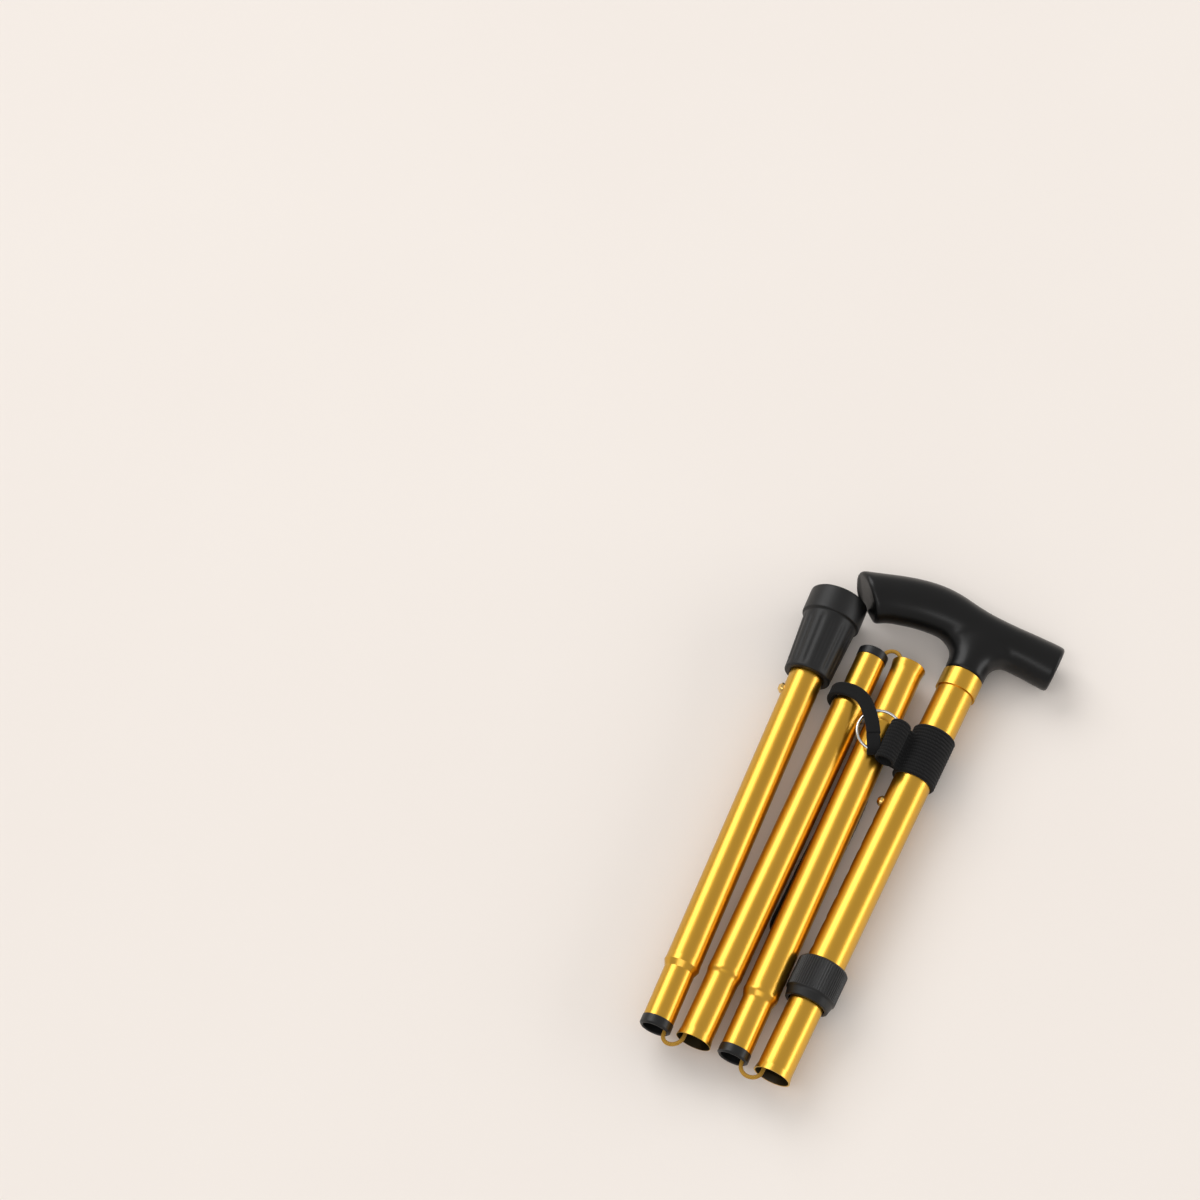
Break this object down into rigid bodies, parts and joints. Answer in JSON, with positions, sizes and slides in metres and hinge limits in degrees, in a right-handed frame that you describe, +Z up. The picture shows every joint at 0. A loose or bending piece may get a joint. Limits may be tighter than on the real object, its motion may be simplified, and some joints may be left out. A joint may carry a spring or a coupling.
{
  "type": "folding cane",
  "caption": "Gold folding walking cane, folded flat: T-shaped black handle, telescoping tube with twist collar, corded sections, wrist strap and rubber tip.",
  "frame": {"origin": "on the table under the middle of the folded cane", "axes": "+Y along the tubes towards the handle, +X across them towards the handle's heel, +Z up"},
  "size_m": [0.1486, 0.3248, 0.0365],
  "materials": {
    "gold_anodised": "bright gold anodised tube with fine drawn lines",
    "black_plastic": "satin black moulding",
    "black_rubber": "matte black rubber",
    "black_elastic": "black woven elastic and cord",
    "bright_steel": "bright steel wire and sheet",
    "crimp_aluminium": "plain aluminium",
    "brass": "polished brass",
    "shock_cord": "gold-brown braided elastic"
  },
  "bodies": {
    "handle_section": {"handle_grip": "black_plastic", "collar_ring": "gold_anodised", "outer_tube": "gold_anodised", "collar_bush": "black_plastic", "clamp_ring": "bright_steel", "strap_band": "black_elastic", "ring_tab": "black_elastic", "strap_eye": "black_elastic", "cord_crimp": "crimp_aluminium", "strap_loop": "black_elastic"},
    "lock": {"lock_collar": "black_plastic"},
    "ring": {"strap_ring": "bright_steel"},
    "inner_section": {"inner_tube": "gold_anodised", "snap_spring": "bright_steel", "cord_anchor": "black_plastic", "cord_knot": "shock_cord", "shock_cord_a": "shock_cord", "cord_bend_1": "shock_cord"},
    "height_button": {"snap_button": "brass"},
    "link_1": {"shock_cord_b": "shock_cord"},
    "section_b": {"tube_b": "gold_anodised", "plug_b": "black_plastic", "cord_bend_2": "shock_cord"},
    "link_2": {"shock_cord_c": "shock_cord"},
    "section_c": {"tube_c": "gold_anodised", "plug_c": "black_plastic", "cord_bend_3": "shock_cord"},
    "link_3": {"shock_cord_d": "shock_cord"},
    "section_d": {"tube_d": "gold_anodised", "plug_d": "black_plastic", "cord_tail": "shock_cord", "end_anchor": "black_plastic", "end_knot": "shock_cord", "foot_tube": "crimp_aluminium", "tip_spring": "bright_steel", "ferrule": "black_rubber", "ferrule_washer": "bright_steel"},
    "tip_lock": {"tip_button": "brass"}
  },
  "joints": [
    {"name": "lock_turn", "type": "hinge", "parent": "handle_section", "child": "lock", "pos_m": [0.02754, -0.09445, 0.0175], "axis": [0, 1, 0], "range_deg": [0, 90]},
    {"name": "ring_lift", "type": "hinge", "parent": "handle_section", "child": "ring", "pos_m": [0.00882, 0.05555, 0.0305], "axis": [0, 1, 0], "range_deg": [0, 100], "deforming": ["strap_eye", "cord_crimp", "strap_loop"]},
    {"name": "height", "type": "slide", "parent": "handle_section", "child": "inner_section", "axis": [0, -1, 0], "range_m": [0, 0.096], "deforming": ["strap_eye", "cord_crimp", "strap_loop"]},
    {"name": "button_press", "type": "slide", "parent": "inner_section", "child": "height_button", "axis": [1, 0, 0], "range_m": [0, 0.0036], "stiffness_N_per_m": 1500, "springref_m": -0.002, "deforming": ["snap_spring"]},
    {"name": "fold_1", "type": "hinge", "parent": "inner_section", "child": "link_1", "pos_m": [0.01584, -0.15603, 0.0175], "axis": [0, 0, 1], "range_deg": [0, 178.4], "deforming": ["cord_bend_1", "strap_eye", "cord_crimp", "strap_loop"]},
    {"name": "seat_1", "type": "slide", "parent": "link_1", "child": "section_b", "axis": [0.0279, -0.9996, 0], "range_m": [0, 0.046], "deforming": ["cord_bend_1"]},
    {"name": "fold_2", "type": "hinge", "parent": "section_b", "child": "link_2", "pos_m": [-0.01412, 0.11019, 0.0175], "axis": [0, 0, -1], "range_deg": [0, 179.7], "deforming": ["cord_bend_2"]},
    {"name": "seat_2", "type": "slide", "parent": "link_2", "child": "section_c", "axis": [-0.0227, 0.9997, 0], "range_m": [0, 0.046]},
    {"name": "fold_3", "type": "hinge", "parent": "section_c", "child": "link_3", "pos_m": [-0.02983, -0.15826, 0.0175], "axis": [0, 0, 1], "range_deg": [0, 178.1], "deforming": ["cord_bend_3"]},
    {"name": "seat_3", "type": "slide", "parent": "link_3", "child": "section_d", "axis": [0.0558, -0.9984, 0], "range_m": [0, 0.046], "deforming": ["cord_tail"]},
    {"name": "tip_press", "type": "slide", "parent": "section_d", "child": "tip_lock", "axis": [0.9984, 0.0558, 0], "range_m": [0, 0.0036], "stiffness_N_per_m": 1500, "springref_m": -0.002, "deforming": ["tip_spring"]}
  ],
  "couplings": [
    {"joint": "fold_2", "follows": "fold_1", "ratio": 1.0073},
    {"joint": "fold_3", "follows": "fold_1", "ratio": 0.99832},
    {"joint": "seat_2", "follows": "seat_1", "ratio": 1},
    {"joint": "seat_3", "follows": "seat_1", "ratio": 1}
  ]
}
